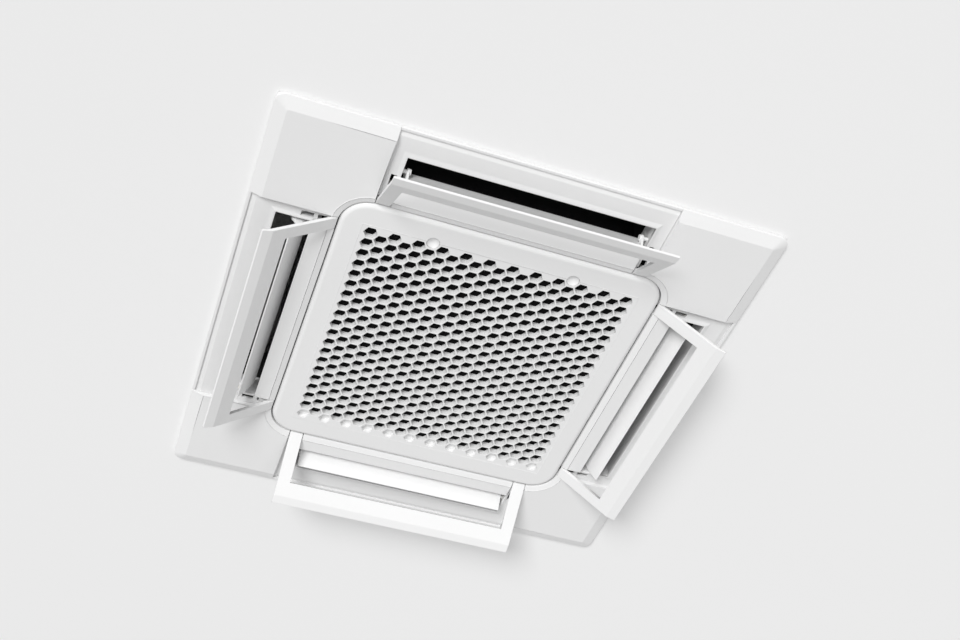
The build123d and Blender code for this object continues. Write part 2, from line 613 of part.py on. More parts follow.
# ---- Foam seal between the ducts and the drain pan ---------------------------------------------
with BuildPart() as duct_seals:
    for turn in OUTLETS.values():
        with BuildSketch(level(DUCT_TOP, turn)):
            with Locations(((SLOT_IN + DUCT_OUT) / 2, 0)):
                Rectangle(DUCT_OUT - SLOT_IN + 6, 2 * SLOT_W + 6)
                Rectangle(DUCT_OUT - SLOT_IN, 2 * SLOT_W, mode=Mode.SUBTRACT)
        extrude(amount=PAN_Z0 - DUCT_TOP)
save(duct_seals.part, "duct_seals")


def octagon(side, cut, mode=Mode.ADD):
    """Square outline with its four corners cut off, in the current sketch."""
    with BuildSketch(mode=Mode.PRIVATE) as outline:
        Rectangle(side, side)
        chamfer(outline.vertices(), cut)
    add(outline.sketch, mode=mode)


def corner_seams(width):
    """Eight narrow slits through the octagon's corners, where its walls are parted."""
    long, short = CASE / 2, CASE / 2 - CASE_CUT
    for quarter in range(4):
        for x, y, lean in ((long, short, 22.5), (short, long, 67.5)):
            turn = radians(90 * quarter)
            spot = (x * cos(turn) - y * sin(turn), x * sin(turn) + y * cos(turn))
            with Locations(spot):
                Rectangle(44, width, rotation=lean + 90 * quarter, mode=Mode.SUBTRACT)


# ---- Casing ---------------------------------------------------------------------------------
PIPE_Y = -205.0            # refrigerant pipes leave on the right side
GAS_Z, LIQUID_Z, DRAIN_Z = 180.0, 130.0, 190.0
DRAIN_Y = 205.0
LIQUID_Y = -190.0
with BuildPart() as side_casing:
    # Four wide sheets and four corner sheets, parted by fine seams.
    with BuildSketch(Plane.XY.offset(CASE_Z0)):
        octagon(CASE, CASE_CUT)
        octagon(CASE - 2 * SHEET, CASE_CUT - 0.6 * SHEET, mode=Mode.SUBTRACT)
        corner_seams(SHEET_SEAM)
    extrude(amount=CASE_Z1 - CASE_Z0)
    # Corner gussets that the pan stands on and the panel is bolted to.
    with BuildSketch(Plane.XY.offset(PAN_Z0 - 2)):
        octagon(CASE - SHEET, CASE_CUT - 0.3 * SHEET)
        Rectangle(CASE, 2 * GUSSET_IN, mode=Mode.SUBTRACT)
        Rectangle(2 * GUSSET_IN, CASE, mode=Mode.SUBTRACT)
        with GridLocations(2 * BOLT_XY, 2 * BOLT_XY, 2, 2):
            Circle(2.8, mode=Mode.SUBTRACT)
        corner_seams(SHEET_SEAM)
    extrude(amount=2)
    # Holes for the pipes and the drain.
    for y, z, radius in ((PIPE_Y, GAS_Z, 12), (LIQUID_Y, LIQUID_Z, 9), (DRAIN_Y, DRAIN_Z, 13.4)):
        with BuildSketch(Plane.YZ.offset(CASE / 2 - 5)):
            with Locations((y, z)):
                Circle(radius)
        extrude(amount=8, mode=Mode.SUBTRACT)
    # Cable entry on the left side, low on the wall.
    with BuildSketch(Plane.YZ.offset(-CASE / 2 - 2)):
        with Locations((-180, 100)):
            Circle(11)
    extrude(amount=6, mode=Mode.SUBTRACT)
save(side_casing.part, "side_casing")

with BuildPart() as top_plate:
    with BuildSketch(Plane.XY.offset(CASE_Z1)):
        octagon(CASE + 2.6, CASE_CUT + 0.6)
    extrude(amount=SHEET)
    with BuildSketch(Plane.XY.offset(CASE_Z1 - 12)):
        octagon(CASE + 2.6, CASE_CUT + 0.6)
    extrude(amount=12)
    with BuildSketch(Plane.XY.offset(CASE_Z1 - 13)):
        octagon(CASE + 0.4, CASE_CUT)
    extrude(amount=13, mode=Mode.SUBTRACT)
    # A pressed ring stiffens it over the fan motor.
    with BuildSketch(Plane.XY.offset(CASE_Z1 + SHEET)):
        Circle(120)
        Circle(112, mode=Mode.SUBTRACT)
    extrude(amount=2.5)
    for turn in (45, 135, 225, 315):
        with BuildSketch(level(CASE_Z1 + SHEET, turn)):
            with Locations((210, 0)):
                SlotOverall(150, 12)
        extrude(amount=2.0)
save(top_plate.part, "top_plate")

with BuildPart() as casing_screws:
    for turn in OUTLETS.values():
        for w in (-190, -65, 65, 190):
            turned = radians(turn)
            spot = ((CASE / 2 + 1.3) * cos(turned) - w * sin(turned),
                    (CASE / 2 + 1.3) * sin(turned) + w * cos(turned), CASE_Z1 - 6)
            with BuildSketch(Plane(spot, z_dir=(cos(turned), sin(turned), 0))):
                RegularPolygon(3.6, 6)
            extrude(amount=2.4)
save(casing_screws.part, "casing_screws")

# ---- Hanger brackets at the four cut corners ---------------------------------------------------
CUT_FACE = CASE / sqrt(2) - CASE_CUT / sqrt(2)       # distance of a cut corner's face
HANGER = HANGER_PITCH / 2
for name, turn in CORNERS.items():
    diagonal = turn + 45
    with BuildPart() as hanger_bracket:
        with BuildSketch(level(HANGER_Z, diagonal)):
            with Locations(((CUT_FACE + 396) / 2, 0)):
                Rectangle(396 - CUT_FACE, 46)
        extrude(amount=2.3)
        with BuildSketch(level(HANGER_Z - 34, diagonal)):
            with Locations((CUT_FACE + 1.15, 0)):
                Rectangle(2.3, 60)
        extrude(amount=36.3)
        slot_x = HANGER * (1 if turn in (0, 270) else -1)
        slot_y = HANGER * (1 if turn in (0, 90) else -1)
        with BuildSketch(Plane.XY.offset(HANGER_Z - 1)):
            with Locations((slot_x, slot_y)):
                SlotOverall(HANGER_SLOT, 2 * HANGER_SLOT_R)
        extrude(amount=5, mode=Mode.SUBTRACT)
    save(hanger_bracket.part, f"hanger_bracket_{name}")

# ---- Foam liner inside the casing ----------------------------------------------------------------
with BuildPart() as foam_liner:
    # Eight wall boards, and a top board with a hole over the fan motor.
    with BuildSketch(Plane.XY.offset(PAN_Z1)):
        octagon(CASE - 2 * SHEET - 0.4, CASE_CUT - 0.6 * SHEET)
        octagon(CASE - 2 * SHEET - 2 * LINER, CASE_CUT - 0.6 * LINER, mode=Mode.SUBTRACT)
        corner_seams(FOAM_SEAM)
    extrude(amount=CASE_Z1 - PAN_Z1 - LINER - FOAM_SEAM)
    with BuildSketch(Plane.XY.offset(CASE_Z1 - LINER)):
        octagon(CASE - 2 * SHEET - 0.4, CASE_CUT - 0.6 * SHEET)
        Circle(98, mode=Mode.SUBTRACT)
    extrude(amount=LINER - 0.2)
    for y, z, radius in ((PIPE_Y, GAS_Z, 9), (LIQUID_Y, LIQUID_Z, 6), (DRAIN_Y, DRAIN_Z, 14)):
        with BuildSketch(Plane.YZ.offset(CASE / 2 - 20)):
            with Locations((y, z)):
                Circle(radius)
        extrude(amount=24, mode=Mode.SUBTRACT)
    with BuildSketch(Plane.YZ.offset(-CASE / 2)):
        with Locations((-180, 100)):
            Circle(11)
    extrude(amount=14, mode=Mode.SUBTRACT)
save(foam_liner.part, "foam_liner")

# ---- Drain pan, with the air ducts through it ------------------------------------------------------
BELL_FLANGE_R = 172.0
BOX_U0, BOX_U1, BOX_W = 160.0, 217.0, 100.0          # control box, beside the bell mouth
BOX_Z0, BOX_Z1 = 14.0, 51.0
FLOAT_X, FLOAT_Y = 205.0, 243.0
PIT_Z = 52.0
with BuildPart() as drain_pan:
    with BuildSketch(Plane.XY.offset(PAN_Z0)):
        octagon(CASE - 2 * SHEET - 1.6, CASE_CUT + 2)
    extrude(amount=PAN_Z1 - PAN_Z0)
    with BuildSketch(Plane.XY.offset(PAN_Z0 - 1)):
        Circle(152)
    extrude(amount=PAN_Z1, mode=Mode.SUBTRACT)
    for turn in OUTLETS.values():
        with BuildSketch(level(PAN_Z0 - 1, turn)):
            with Locations(((SLOT_IN + DUCT_OUT) / 2, 0)):
                Rectangle(DUCT_OUT - SLOT_IN, 2 * SLOT_W)
        extrude(amount=PAN_Z1, mode=Mode.SUBTRACT)
    # The trough under the coil, and a deeper pit under the pump and the float.
    with BuildSketch(Plane.XY.offset(COIL_Z0 - 4)):
        RectangleRounded(2 * COIL_OUT + 10, 2 * COIL_OUT + 10, COIL_R + 5)
        RectangleRounded(2 * COIL_IN - 10, 2 * COIL_IN - 10, COIL_R - 30, mode=Mode.SUBTRACT)
    extrude(amount=40, mode=Mode.SUBTRACT)
    with BuildSketch(Plane.XY.offset(PIT_Z)):
        with Locations((218, 222)):
            RectangleRounded(62, 62, 8)
    extrude(amount=40, mode=Mode.SUBTRACT)
    # Recess for the control box, and clearance for the heads of the panel bolts.
    with BuildSketch(Plane.XY.offset(PAN_Z0 - 1)):
        with Locations((-(BOX_U0 + BOX_U1) / 2, 0)):
            Rectangle(BOX_U1 - BOX_U0 + 3, 2 * BOX_W + 3)
    extrude(amount=BOX_Z1 - PAN_Z0 + 1.8, mode=Mode.SUBTRACT)
    with BuildSketch(Plane.XY.offset(PAN_Z0 - 1)):
        with GridLocations(2 * BOLT_XY, 2 * BOLT_XY, 2, 2):
            Circle(5)
    extrude(amount=12, mode=Mode.SUBTRACT)
    # It is built of blocks, parted in line with the ends of the ducts.
    with BuildSketch(Plane.XY.offset(PAN_Z0 - 1)):
        with Locations((0, SLOT_W + FOAM_SEAM / 2), (0, -SLOT_W - FOAM_SEAM / 2)):
            Rectangle(CASE, FOAM_SEAM)
        with Locations((SLOT_W + FOAM_SEAM / 2, 0), (-SLOT_W - FOAM_SEAM / 2, 0)):
            Rectangle(FOAM_SEAM, CASE)
    extrude(amount=PAN_Z1, mode=Mode.SUBTRACT)
save(drain_pan.part, "drain_pan")

# ---- Bell mouth --------------------------------------------------------------------------------
with BuildPart() as bell_mouth:
    with BuildSketch(Plane.XZ):
        with BuildLine():
            inner = ThreePointArc((150, 26.5), (128, 37), (THROAT_R, 60))
            Polyline(inner @ 1, (THROAT_R, 80), (THROAT_R + 2, 80), (THROAT_R + 2, 60))
            outer = ThreePointArc((THROAT_R + 2, 60), (129.5, 38.4), (150.5, 28))
            Polyline(outer @ 1, (BELL_FLANGE_R, 28), (BELL_FLANGE_R, 26.5), (150, 26.5))
        make_face()
    revolve(axis=Axis.Z)
    with BuildSketch(Plane.XY.offset(20)):
        with Locations((-(BOX_U0 + BOX_U1) / 2, 0)):
            Rectangle(BOX_U1 - BOX_U0 + 3, 2 * BOX_W + 3)
    extrude(amount=20, mode=Mode.SUBTRACT)
save(bell_mouth.part, "bell_mouth")

# ---- Turbo fan, its shaft, nut and motor -----------------------------------------------------------
BLADES = 7
HUB_Z = 157.0
SHROUD_IN = THROAT_R + 6
SHROUD_Z, SHROUD_RIM_Z = 88.0, 104.0
SHROUD_T = 2.4
PLATE_T = 3.0
with BuildSketch(Plane.XY.offset(FAN_Z0)) as blade_outline:
    with BuildLine():
        heel = (102 * cos(radians(30)), 102 * sin(radians(30)))
        belly = (139 * cos(radians(17)), 139 * sin(radians(17)))
        outer = ThreePointArc(heel, belly, (163, 0))
        tip = Line(outer @ 1, (162.4, -3.2))
        inner = ThreePointArc(tip @ 1, (137 * cos(radians(15.6)), 137 * sin(radians(15.6))),
                              (101 * cos(radians(28.4)), 101 * sin(radians(28.4))))
        Line(inner @ 1, heel)
    make_face()

with BuildPart() as fan_blades:
    # Backward-curved blades.
    with BuildSketch(Plane.XY.offset(FAN_Z0)):
        with PolarLocations(0, BLADES):
            add(blade_outline.sketch_local)
    extrude(amount=FAN_Z1 - PLATE_T - FAN_Z0)
    # Their lower edges follow the shroud.
    with BuildSketch(Plane.XZ):
        with BuildLine():
            throat = Line((90, SHROUD_Z), (SHROUD_IN, SHROUD_Z))
            curve = TangentArc(throat @ 1, (FAN_R, SHROUD_RIM_Z + SHROUD_T), tangent=(1, 1))
            Polyline(curve @ 1, (FAN_R, 60), (90, 60), (90, SHROUD_Z))
        make_face()
    revolve(axis=Axis.Z, mode=Mode.SUBTRACT)
save(fan_blades.part, "fan_blades")

with BuildPart() as fan_hub:
    # Back plate, with a drum that drops round the motor, and the boss on the shaft.
    with BuildSketch(Plane.XZ):
        with BuildLine():
            Polyline((SHAFT_R, 140), (12, 140), (12, HUB_Z), (68, HUB_Z), (70, FAN_Z1 - PLATE_T),
                     (FAN_R, FAN_Z1 - PLATE_T), (FAN_R, FAN_Z1), (67, FAN_Z1), (65, HUB_Z + 3),
                     (SHAFT_R, HUB_Z + 3), close=True)
        make_face()
    revolve(axis=Axis.Z)
save(fan_hub.part, "fan_hub")

with BuildPart() as fan_shroud:
    # Ring under the blades' lower edges, with a lip that stands in the fan's inlet.
    with BuildSketch(Plane.XZ):
        with BuildLine():
            lip = Line((SHROUD_IN, FAN_Z0), (SHROUD_IN, SHROUD_Z))
            bend = TangentArc(lip @ 1, (FAN_R, SHROUD_RIM_Z + SHROUD_T), tangent=(1, 1))
            rim = Line(bend @ 1, (FAN_R, SHROUD_RIM_Z))
            back = TangentArc((SHROUD_IN + 2.2, SHROUD_Z - 2), rim @ 1, tangent=(1, 1))
            Polyline(back @ 0, (SHROUD_IN + 2.2, FAN_Z0), lip @ 0)
        make_face()
    revolve(axis=Axis.Z)
save(fan_shroud.part, "fan_shroud")

with BuildPart() as motor_shaft:
    with BuildSketch(Plane.XY.offset(128)):
        Circle(SHAFT_R)
    extrude(amount=108)
save(motor_shaft.part, "motor_shaft")

with BuildPart() as fan_nut:
    with BuildSketch(Plane.XY.offset(132)):
        RegularPolygon(8, 6)
        Circle(SHAFT_R, mode=Mode.SUBTRACT)
    extrude(amount=8)
save(fan_nut.part, "fan_nut")

MOTOR_Z0, MOTOR_Z1 = 168.0, 228.0
with BuildPart() as fan_motor:
    with BuildSketch(Plane.XY.offset(MOTOR_Z0)):
        Circle(MOTOR_R)
    extrude(amount=MOTOR_Z1 - MOTOR_Z0)
    chamfer(fan_motor.edges().filter_by(GeomType.CIRCLE), 3)
    with BuildSketch(Plane.XY.offset(MOTOR_Z0 - 5)):
        Circle(14)
    extrude(amount=6)
    with BuildSketch(Plane.XY.offset(MOTOR_Z1 - 3)):
        with PolarLocations(66, 4, start_angle=45):
            SlotOverall(34, 20)
    extrude(amount=3)
    with BuildSketch(Plane.XY.offset(MOTOR_Z0 - 6)):
        Circle(SHAFT_R + RUNNING)
    extrude(amount=MOTOR_Z1 - MOTOR_Z0 + 10, mode=Mode.SUBTRACT)
save(fan_motor.part, "fan_motor")

with BuildPart() as motor_mounts:
    with BuildSketch(Plane.XY.offset(MOTOR_Z1)):
        with PolarLocations(72, 4, start_angle=45):
            Circle(8)
    extrude(amount=10)
    with BuildSketch(Plane.XY.offset(MOTOR_Z1 + 4)):
        with PolarLocations(72, 4, start_angle=45):
            Circle(9)
            Circle(6, mode=Mode.SUBTRACT)
    extrude(amount=2, mode=Mode.SUBTRACT)
save(motor_mounts.part, "motor_mounts")

with BuildPart() as motor_bracket:
    with BuildSketch(Plane.XY.offset(MOTOR_Z1 + 10)):
        Circle(90)
        Circle(46, mode=Mode.SUBTRACT)
    extrude(amount=3)
    with BuildSketch(Plane.XY.offset(MOTOR_Z1 + 13)):
        with PolarLocations(82, 4):
            Circle(6)
    extrude(amount=CASE_Z1 - MOTOR_Z1 - 13)
save(motor_bracket.part, "motor_bracket")

# ---- Heat exchanger: a square ring of fins, open at the back right corner --------------------------
COIL_MID = (COIL_IN + COIL_OUT) / 2
END_X = 150.0              # the ring's two ends stand at x = END_X and y = -END_X
with BuildPart() as coil_fins:
    with BuildSketch(Plane.XY.offset(COIL_Z0)):
        RectangleRounded(2 * COIL_OUT, 2 * COIL_OUT, COIL_R)
        RectangleRounded(2 * COIL_IN, 2 * COIL_IN, COIL_R - 26, mode=Mode.SUBTRACT)
        with Locations((END_X + 40, -END_X - 40)):
            Rectangle(80, 80, mode=Mode.SUBTRACT)
    extrude(amount=COIL_Z1 - COIL_Z0)
save(coil_fins.part, "coil_fins")

with BuildPart() as coil_end_plates:
    with BuildSketch(Plane.XY.offset(COIL_Z0 - 2)):
        with Locations((END_X + 0.75, -COIL_MID)):
            Rectangle(1.5, COIL_OUT - COIL_IN + 6)
        with Locations((COIL_MID, -END_X - 0.75)):
            Rectangle(COIL_OUT - COIL_IN + 6, 1.5)
    extrude(amount=CASE_Z1 - LINER - COIL_Z0 + 2)
save(coil_end_plates.part, "coil_end_plates")

# Hairpin bends stand out of both end plates. The outer row of each is fed by a header instead.
BEND_PITCH = 21.0
BEND_R = 3.5
BENDS = 8
with BuildPart() as coil_bends:
    for step in range(BENDS):
        z = COIL_Z0 + 10 + step * BEND_PITCH
        for spot, out in (((END_X + 1.5, -COIL_MID + 6.5, z), (1, 0, 0)),
                          ((COIL_MID - 6.5, -END_X - 1.5, z), (0, -1, 0))):
            with BuildSketch(Plane(spot, x_dir=(0, 0, 1), z_dir=out)):
                Circle(BEND_R)
            pivot = Axis((spot[0], spot[1], z + BEND_PITCH / 4), (out[1], -out[0], 0))
            revolve(axis=pivot, revolution_arc=180)
save(coil_bends.part, "coil_bends")

# ---- Refrigerant pipes: a header on the coil, the pipe out through the casing, and its flare nut -----
PIPE_END = 325.0
GAS_R, LIQUID_R = 6.35, 3.175          # connecting stubs outside the casing
GAS_INNER_R, LIQUID_INNER_R = 6.0, 2.8 # the pipes behind them
STUB = 22.0
GAS_HEADER_X = 180.0
LIQUID_HEADER_Y = -178.0
with BuildPart() as gas_pipe:
    with BuildSketch(Plane.XY.offset(COIL_Z0 + 4)):
        with Locations((GAS_HEADER_X, -COIL_MID - 6.5)):
            Circle(8)
    extrude(amount=COIL_Z1 - COIL_Z0 - 10)
    for step in range(BENDS):
        with BuildSketch(Plane.YZ.offset(END_X + 1.5)):
            with Locations((-COIL_MID - 6.5, COIL_Z0 + 10 + step * BEND_PITCH)):
                Circle(BEND_R)
        extrude(amount=GAS_HEADER_X - END_X - 4)
    with BuildSketch(Plane.YZ.offset(GAS_HEADER_X)):
        with Locations((PIPE_Y, GAS_Z)):
            Circle(GAS_INNER_R)
    extrude(amount=PIPE_END - GAS_HEADER_X)
    with BuildSketch(Plane.YZ.offset(PIPE_END)):
        with Locations((PIPE_Y, GAS_Z)):
            Circle(GAS_R)
    extrude(amount=-STUB)
    with BuildSketch(Plane.YZ.offset(GAS_HEADER_X + 20)):
        with Locations((PIPE_Y, GAS_Z)):
            Circle(GAS_INNER_R - 1)
    extrude(amount=PIPE_END - GAS_HEADER_X, mode=Mode.SUBTRACT)
save(gas_pipe.part, "gas_pipe")

with BuildPart() as liquid_pipe:
    with BuildSketch(Plane.XY.offset(COIL_Z0 + 4)):
        with Locations((COIL_MID + 6.5, LIQUID_HEADER_Y)):
            Circle(5)
    extrude(amount=COIL_Z1 - COIL_Z0 - 10)
    for step in range(BENDS):
        with BuildSketch(Plane.XZ.offset(END_X + 1.5)):
            with Locations((COIL_MID + 6.5, COIL_Z0 + 10 + step * BEND_PITCH)):
                Circle(2.2)
        extrude(amount=-LIQUID_HEADER_Y - END_X - 3)
    with BuildLine() as route:
        FilletPolyline((COIL_MID + 8, LIQUID_HEADER_Y, LIQUID_Z), (236, LIQUID_HEADER_Y, LIQUID_Z),
                       (258, LIQUID_Y, LIQUID_Z), (PIPE_END, LIQUID_Y, LIQUID_Z), radius=14)
    with BuildSketch(Plane.YZ.offset(COIL_MID + 8)):
        with Locations((LIQUID_HEADER_Y, LIQUID_Z)):
            Circle(LIQUID_INNER_R)
    sweep(path=route.line)
    with BuildSketch(Plane.YZ.offset(PIPE_END)):
        with Locations((LIQUID_Y, LIQUID_Z)):
            Circle(LIQUID_R)
    extrude(amount=-STUB)
    with BuildSketch(Plane.YZ.offset(PIPE_END - 30)):
        with Locations((LIQUID_Y, LIQUID_Z)):
            Circle(LIQUID_INNER_R - 0.8)
    extrude(amount=31, mode=Mode.SUBTRACT)
save(liquid_pipe.part, "liquid_pipe")

with BuildPart() as flare_nuts:
    for y, z, flats, bore in ((PIPE_Y, GAS_Z, 24, GAS_INNER_R),
                              (LIQUID_Y, LIQUID_Z, 17, LIQUID_INNER_R)):
        with BuildSketch(Plane.YZ.offset(CASE / 2 + 1)):
            with Locations((y, z)):
                RegularPolygon(flats / 2, 6, major_radius=False)
                Circle(bore, mode=Mode.SUBTRACT)
        extrude(amount=16)
save(flare_nuts.part, "flare_nuts")

# ---- Drain pump, drain socket and float switch ----------------------------------------------------------
PUMP_X = 226.0
DRAIN_END = 310.0
LINER_IN = CASE / 2 - SHEET - LINER
with BuildPart() as drain_pump:
    with BuildSketch(Plane.XY.offset(PIT_Z + 2)):
        with Locations((PUMP_X, DRAIN_Y)):
            Circle(12)
    with BuildSketch(Plane.XY.offset(PIT_Z + 24)):
        with Locations((PUMP_X, DRAIN_Y)):
            Circle(7)
    loft()
    for low, high, radius in ((76, 122, 7), (122, 160, 18), (160, 178, 16.5), (178, 202, 14)):
        with BuildSketch(Plane.XY.offset(low)):
            with Locations((PUMP_X, DRAIN_Y)):
                Circle(radius)
        extrude(amount=high - low)
    with BuildSketch(Plane.YZ.offset(PUMP_X)):
        with Locations((DRAIN_Y, DRAIN_Z)):
            Circle(8)
    extrude(amount=30)
    # A bracket holds it on the liner.
    with BuildSketch(Plane.XY.offset(122)):
        with Locations(((PUMP_X + LINER_IN) / 2, DRAIN_Y)):
            Rectangle(LINER_IN - PUMP_X, 24)
    extrude(amount=2)
save(drain_pump.part, "drain_pump")

with BuildPart() as drain_socket:
    with BuildSketch(Plane.YZ.offset(PUMP_X + 22)):
        with Locations((DRAIN_Y, DRAIN_Z)):
            Circle(13)
            Circle(8, mode=Mode.SUBTRACT)
    extrude(amount=20)
    with BuildSketch(Plane.YZ.offset(PUMP_X + 42)):
        with Locations((DRAIN_Y, DRAIN_Z)):
            Circle(13)
            Circle(10.8, mode=Mode.SUBTRACT)
    extrude(amount=DRAIN_END - PUMP_X - 42)
save(drain_socket.part, "drain_socket")

FLOAT_REST = 63.0
with BuildPart() as float_guide:
    with BuildSketch(Plane.XY.offset(PIT_Z)):
        with Locations((FLOAT_X, FLOAT_Y)):
            Circle(3)
    extrude(amount=60)
    with BuildSketch(Plane.XY.offset(FLOAT_REST - 2.3)):
        with Locations((FLOAT_X, FLOAT_Y)):
            Circle(4.5)
    extrude(amount=2)
    with BuildSketch(Plane.XY.offset(PIT_Z + 58)):
        with Locations((FLOAT_X, (FLOAT_Y + LINER_IN - 4) / 2)):
            Rectangle(14, LINER_IN - FLOAT_Y + 4)
    extrude(amount=2)
save(float_guide.part, "float_guide")

with BuildPart() as drain_float:
    with BuildSketch(Plane.XY.offset(FLOAT_REST)):
        with Locations((FLOAT_X, FLOAT_Y)):
            Circle(9)
    extrude(amount=14)
    chamfer(drain_float.edges().filter_by(GeomType.CIRCLE), 1.5)
    with BuildSketch(Plane.XY.offset(FLOAT_REST - 1)):
        with Locations((FLOAT_X, FLOAT_Y)):
            Circle(3.3)
    extrude(amount=16, mode=Mode.SUBTRACT)
save(drain_float.part, "drain_float")

# ---- Control box, beside the bell mouth on the left side --------------------------------------------------
BOX_U = (BOX_U0 + BOX_U1) / 2
with BuildPart() as control_box:
    with BuildSketch(Plane.XY.offset(BOX_Z0)):
        with Locations((-BOX_U, 0)):
            Rectangle(BOX_U1 - BOX_U0, 2 * BOX_W)
    extrude(amount=BOX_Z1 - BOX_Z0)
    with BuildSketch(Plane.XY.offset(BOX_Z0 - 1)):
        with Locations((-BOX_U, 0)):
            Rectangle(BOX_U1 - BOX_U0 - 2 * SHEET, 2 * BOX_W - 2 * SHEET)
    extrude(amount=BOX_Z1 - BOX_Z0 - SHEET + 1, mode=Mode.SUBTRACT)
    # Posts for the board.
    with BuildSketch(Plane.XY.offset(BOX_Z1 - 12)):
        with Locations((-BOX_U, -20)):
            with GridLocations(38, 140, 2, 2):
                Circle(3)
    extrude(amount=11)
save(control_box.part, "control_box")

with BuildPart() as control_box_cover:
    with BuildSketch(Plane.XY.offset(BOX_Z0 - SHEET)):
        with Locations((-BOX_U, 0)):
            RectangleRounded(BOX_U1 - BOX_U0, 2 * BOX_W, 2)
    extrude(amount=SHEET)
    with BuildSketch(Plane.XY.offset(BOX_Z0 - SHEET)):
        with Locations((-BOX_U, 0)):
            with GridLocations(46, 188, 2, 2):
                Circle(2.6)
    extrude(amount=-0.4)
save(control_box_cover.part, "control_box_cover")

with BuildPart() as control_board:
    with BuildSketch(Plane.XY.offset(BOX_Z1 - 13.6)):
        with Locations((-BOX_U, -20)):
            Rectangle(48, 150)
    extrude(amount=1.6)
    # Transformer, capacitors, relays and connectors under it.
    for x, y, width, length, height in ((-10, -75, 22, 28, 17), (12, -78, 14, 14, 12), (12, -60, 14, 14, 12),
                                        (-8, -40, 12, 24, 9), (10, -30, 16, 20, 10), (-10, -5, 18, 18, 3),
                                        (12, 5, 12, 30, 8), (-12, 30, 14, 30, 8)):
        with BuildSketch(Plane.XY.offset(BOX_Z1 - 13.6)):
            with Locations((-BOX_U + x, y)):
                Rectangle(width, length)
        extrude(amount=-height)
    # Terminal block at the end, on the box's roof.
    with BuildSketch(Plane.XY.offset(BOX_Z1 - SHEET)):
        with Locations((-BOX_U, 78)):
            Rectangle(46, 24)
    extrude(amount=-16)
    with BuildSketch(Plane.XY.offset(BOX_Z1 - SHEET - 16)):
        with Locations((-BOX_U, 78)):
            with GridLocations(8.6, 10, 5, 2):
                Circle(2.6)
    extrude(amount=5, mode=Mode.SUBTRACT)
save(control_board.part, "control_board")
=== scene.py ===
import json
import math

import bmesh
import bpy
from bpy.props import FloatProperty, FloatVectorProperty, PointerProperty
from mathutils import Matrix, Vector
from mathutils.bvhtree import BVHTree


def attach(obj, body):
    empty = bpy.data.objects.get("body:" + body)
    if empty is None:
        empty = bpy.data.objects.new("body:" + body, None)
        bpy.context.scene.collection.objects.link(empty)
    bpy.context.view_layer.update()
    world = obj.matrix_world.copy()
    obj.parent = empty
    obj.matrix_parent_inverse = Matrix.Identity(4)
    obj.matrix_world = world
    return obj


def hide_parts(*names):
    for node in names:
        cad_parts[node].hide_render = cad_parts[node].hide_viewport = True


bl_info = {
    "name": "Ceiling cassette finishes",
    "version": (1, 0, 0),
    "blender": (4, 5, 0),
    "location": "View3D > Sidebar > Cassette",
    "description": "Finishes and a studio for a four-way ceiling air conditioner",
    "category": "Object",
}

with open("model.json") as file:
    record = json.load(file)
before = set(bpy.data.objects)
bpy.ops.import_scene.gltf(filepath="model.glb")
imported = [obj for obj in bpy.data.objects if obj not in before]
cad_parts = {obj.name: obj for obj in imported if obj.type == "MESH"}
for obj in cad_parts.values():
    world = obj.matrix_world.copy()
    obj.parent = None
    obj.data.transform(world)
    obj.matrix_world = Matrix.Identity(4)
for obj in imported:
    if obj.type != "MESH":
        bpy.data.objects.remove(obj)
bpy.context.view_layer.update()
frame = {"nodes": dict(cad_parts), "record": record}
NODES = frame["nodes"]
BODY_OF = {node: body for body, row in frame["record"]["behaviour"]["bodies"].items()
           for node in row}
SLOT_OF = {row["node"]: row["material_slot"] for row in frame["record"]["subparts"]}

SIDES = ("right", "front", "left", "back")
CORNERS = ("front_right", "front_left", "back_left", "back_right")

# How a copy of a CAD node is refined.
WELD = 0.00001                 # points nearer than this, in metres, are one point
CREASE = math.radians(13)      # sharper than any step of a tessellated curve
ROUNDING = 2                   # faces across a rounded edge
THORN = 0.6                    # no sound point of a bevel is this many radii from the surface
FLAT_WEIGHT = 80               # how far large flat faces rule the shading at their edges

# The photograph's camera, in the part's frame: its place in metres, lens and sensor in mm.
CAMERA_AT = (-0.35224, -1.06633, -1.17273)
CAMERA_RIGHT = (0.942877, -0.333111, -0.004425)
CAMERA_DOWN = (0.244017, 0.699616, -0.671560)
CAMERA_AHEAD = (0.226800, 0.632119, 0.740937)
CAMERA_LENS = 47.40
CAMERA_SENSOR = 36.0
CAMERA_NEAREST = 0.05
CAMERA_FARTHEST = 60.0

# The studio, in metres.
CEILING_SIDE = 14.0
CEILING_LIFT = 0.0004          # keeps the sheet off the panel's back
MIDDLE = (0.0, 0.0, 0.0)       # of the panel, at the ceiling
KEY_FROM = (-4.0, -6.4, -4.4)  # only its direction counts
KEY_SPREAD = math.radians(22)
FILL_AT = (0.6, -0.5, -4.6)
FILL_SIDE = 3.0
TOP_AT = (-1.2, -1.4, 1.9)
TOP_AIM = (0.0, 0.0, 0.1)
TOP_SIDE = 1.6


# ---- Shader building -----------------------------------------------------------------------


class Wire:
    """A shader socket whose Python operators add Math nodes."""

    def __init__(self, tree, socket):
        self.tree = tree
        self.socket = socket

    def maths(self, operation, *values):
        node = self.tree.nodes.new("ShaderNodeMath")
        node.operation = operation
        for slot, value in zip(node.inputs, values):
            feed(self.tree, slot, value)
        return Wire(self.tree, node.outputs[0])

    def __add__(self, other):
        return self.maths("ADD", self, other)

    def __radd__(self, other):
        return self.maths("ADD", other, self)

    def __mul__(self, other):
        return self.maths("MULTIPLY", self, other)

    def __rmul__(self, other):
        return self.maths("MULTIPLY", other, self)

    def __truediv__(self, other):
        return self.maths("DIVIDE", self, other)

    def __pow__(self, other):
        return self.maths("POWER", self, other)


